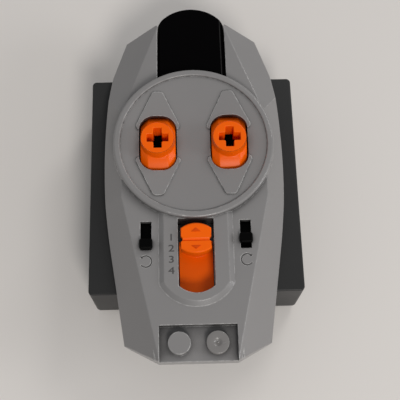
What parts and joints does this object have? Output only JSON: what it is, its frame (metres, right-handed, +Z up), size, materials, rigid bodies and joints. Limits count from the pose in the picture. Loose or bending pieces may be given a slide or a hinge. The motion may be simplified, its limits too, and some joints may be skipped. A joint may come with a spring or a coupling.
{
  "type": "train set controller",
  "caption": "Hand controller for a toy train set: light shell on a dark battery base, with sprung joysticks, a channel slider and direction switches.",
  "frame": {"origin": "on the surface it rests on, under the middle of the whole controller", "axes": "+Y towards the infrared window at the far end, +X to the user's right, +Z up"},
  "size_m": [0.048, 0.086, 0.0295],
  "materials": {
    "shell_grey": "fine moulded satin",
    "base_dark": "fine moulded satin",
    "window_black": "polished, clear to infrared only",
    "control_orange": "moulded semi-gloss",
    "lever_black": "moulded",
    "pin_steel": "drawn wire",
    "switch_metal": "pressed sheet",
    "contact_nickel": "nickel plated spring steel",
    "screw_zinc": "zinc plated",
    "pad_rubber": "matt silicone",
    "board_green": "solder resist over glass fibre",
    "component_black": "moulded epoxy",
    "component_amber": "dipped",
    "clear_plastic": "clear cast",
    "cell_wrap": "plain printed sleeve"
  },
  "bodies": {
    "housing": {"top_shell": "shell_grey", "slider_guide": "shell_grey", "base_housing": "base_dark", "joystick_cradle": "base_dark", "ir_window": "window_black", "joystick_axle_left": "pin_steel", "joystick_axle_right": "pin_steel", "channel_switch": "switch_metal", "direction_switch_left": "switch_metal", "direction_switch_right": "switch_metal", "slider_detent": "switch_metal", "plus_contact_left": "contact_nickel", "plus_contact_middle": "contact_nickel", "plus_contact_right": "contact_nickel", "minus_contact_left": "contact_nickel", "minus_contact_middle": "contact_nickel", "minus_contact_right": "contact_nickel", "case_screws": "screw_zinc", "board_screws": "screw_zinc", "contact_pad": "pad_rubber", "circuit_board": "board_green", "controller_chip": "component_black", "chip_resistors": "component_black", "capacitor": "component_black", "resonator": "component_amber", "ir_led_left": "clear_plastic", "ir_led_right": "clear_plastic", "indicator_led": "clear_plastic", "light_pipe": "clear_plastic", "cell_left": "cell_wrap", "cell_middle": "cell_wrap", "cell_right": "cell_wrap"},
    "joystick_left": {"joystick_left": "control_orange"},
    "joystick_right": {"joystick_right": "control_orange"},
    "channel_slider": {"channel_slider": "control_orange", "channel_switch_tab": "lever_black"},
    "direction_lever_left": {"direction_lever_left": "lever_black", "direction_tab_left": "lever_black"},
    "direction_lever_right": {"direction_lever_right": "lever_black", "direction_tab_right": "lever_black"},
    "battery_cover": {"battery_cover": "base_dark"}
  },
  "joints": [
    {"name": "joystick_left_tilt", "type": "hinge", "parent": "housing", "child": "joystick_left", "pos_m": [-0.008, 0.0054, 0.0179], "axis": [1, 0, 0], "range_deg": [-12, 12], "stiffness_Nm_per_rad": 0.05},
    {"name": "joystick_right_tilt", "type": "hinge", "parent": "housing", "child": "joystick_right", "pos_m": [0.008, 0.0054, 0.0179], "axis": [1, 0, 0], "range_deg": [-12, 12], "stiffness_Nm_per_rad": 0.05},
    {"name": "channel_slide", "type": "slide", "parent": "housing", "child": "channel_slider", "axis": [0, -1, 0], "range_m": [0, 0.00735]},
    {"name": "direction_left_slide", "type": "slide", "parent": "housing", "child": "direction_lever_left", "axis": [0, 1, 0], "range_m": [0, 0.004]},
    {"name": "direction_right_slide", "type": "slide", "parent": "housing", "child": "direction_lever_right", "axis": [0, 1, 0], "range_m": [-0.0009, 0.0031]},
    {"name": "battery_cover_slide", "type": "slide", "parent": "housing", "child": "battery_cover", "axis": [0, -1, 0], "range_m": [0, 0.052]}
  ]
}
